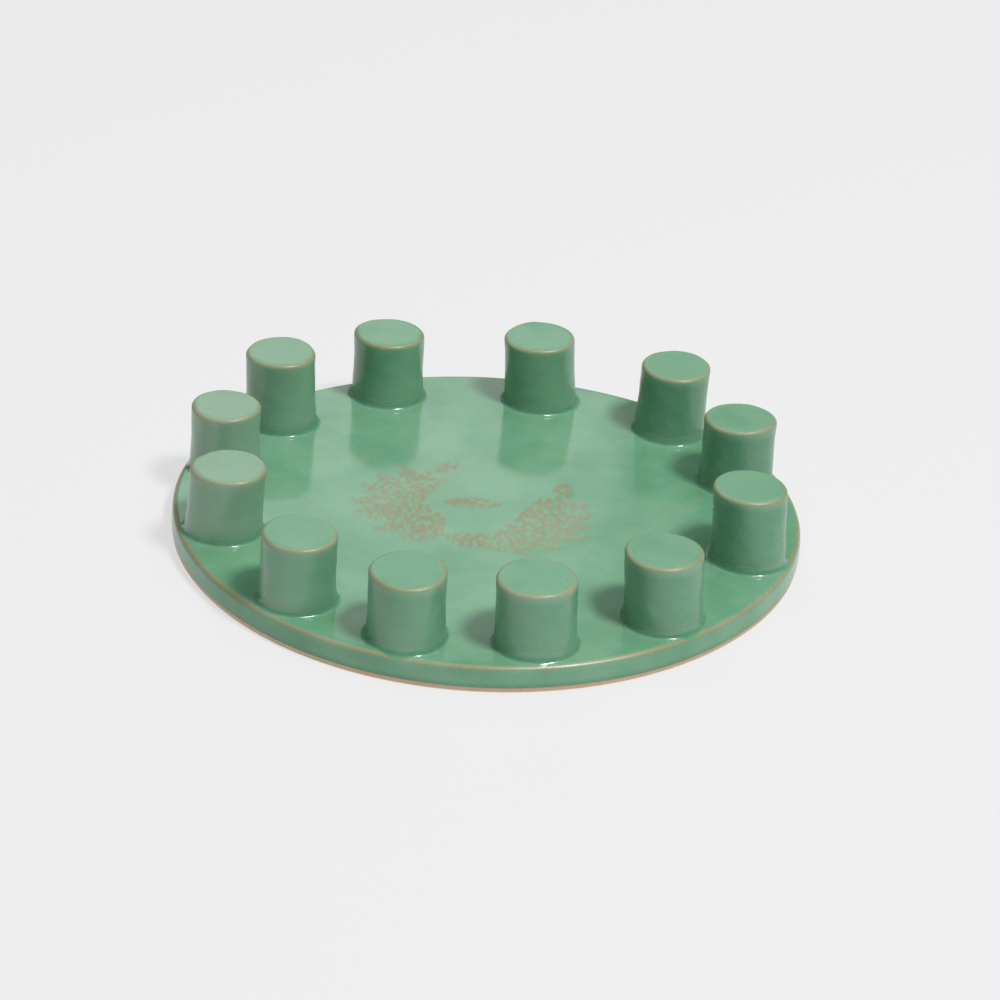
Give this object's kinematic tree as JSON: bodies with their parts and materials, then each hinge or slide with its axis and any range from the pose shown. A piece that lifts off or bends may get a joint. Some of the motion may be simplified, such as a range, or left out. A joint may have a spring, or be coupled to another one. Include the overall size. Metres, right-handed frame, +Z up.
{
  "type": "flower frog",
  "caption": "Round glazed clay slab with a ring of short upright pegs near its rim, which hold leaning flower stems apart in a shallow bowl.",
  "frame": {"origin": "under the middle of the slab's box, on the surface the part stands on", "axes": "+Z up through the pegs; +X to the right and +Y away from the viewer at the front of the part"},
  "size_m": [0.1512, 0.1488, 0.0255],
  "materials": {
    "slab_glaze": "glossy celadon green glaze, tan where it breaks over the edge, bare clay underneath",
    "peg_glaze": "glossy celadon green glaze, tan round the lip of each cut top",
    "slip_glaze": "glossy green glaze pooled thick and darker in the cove round a peg"
  },
  "bodies": {
    "root": {"base_slab": "slab_glaze", "peg_01": "peg_glaze", "peg_02": "peg_glaze", "peg_03": "peg_glaze", "peg_04": "peg_glaze", "peg_05": "peg_glaze", "peg_06": "peg_glaze", "peg_07": "peg_glaze", "peg_08": "peg_glaze", "peg_09": "peg_glaze", "peg_10": "peg_glaze", "peg_11": "peg_glaze", "peg_12": "peg_glaze", "slip_joint_01": "slip_glaze", "slip_joint_02": "slip_glaze", "slip_joint_03": "slip_glaze", "slip_joint_04": "slip_glaze", "slip_joint_05": "slip_glaze", "slip_joint_06": "slip_glaze", "slip_joint_07": "slip_glaze", "slip_joint_08": "slip_glaze", "slip_joint_09": "slip_glaze", "slip_joint_10": "slip_glaze", "slip_joint_11": "slip_glaze", "slip_joint_12": "slip_glaze"}
  },
  "joints": []
}
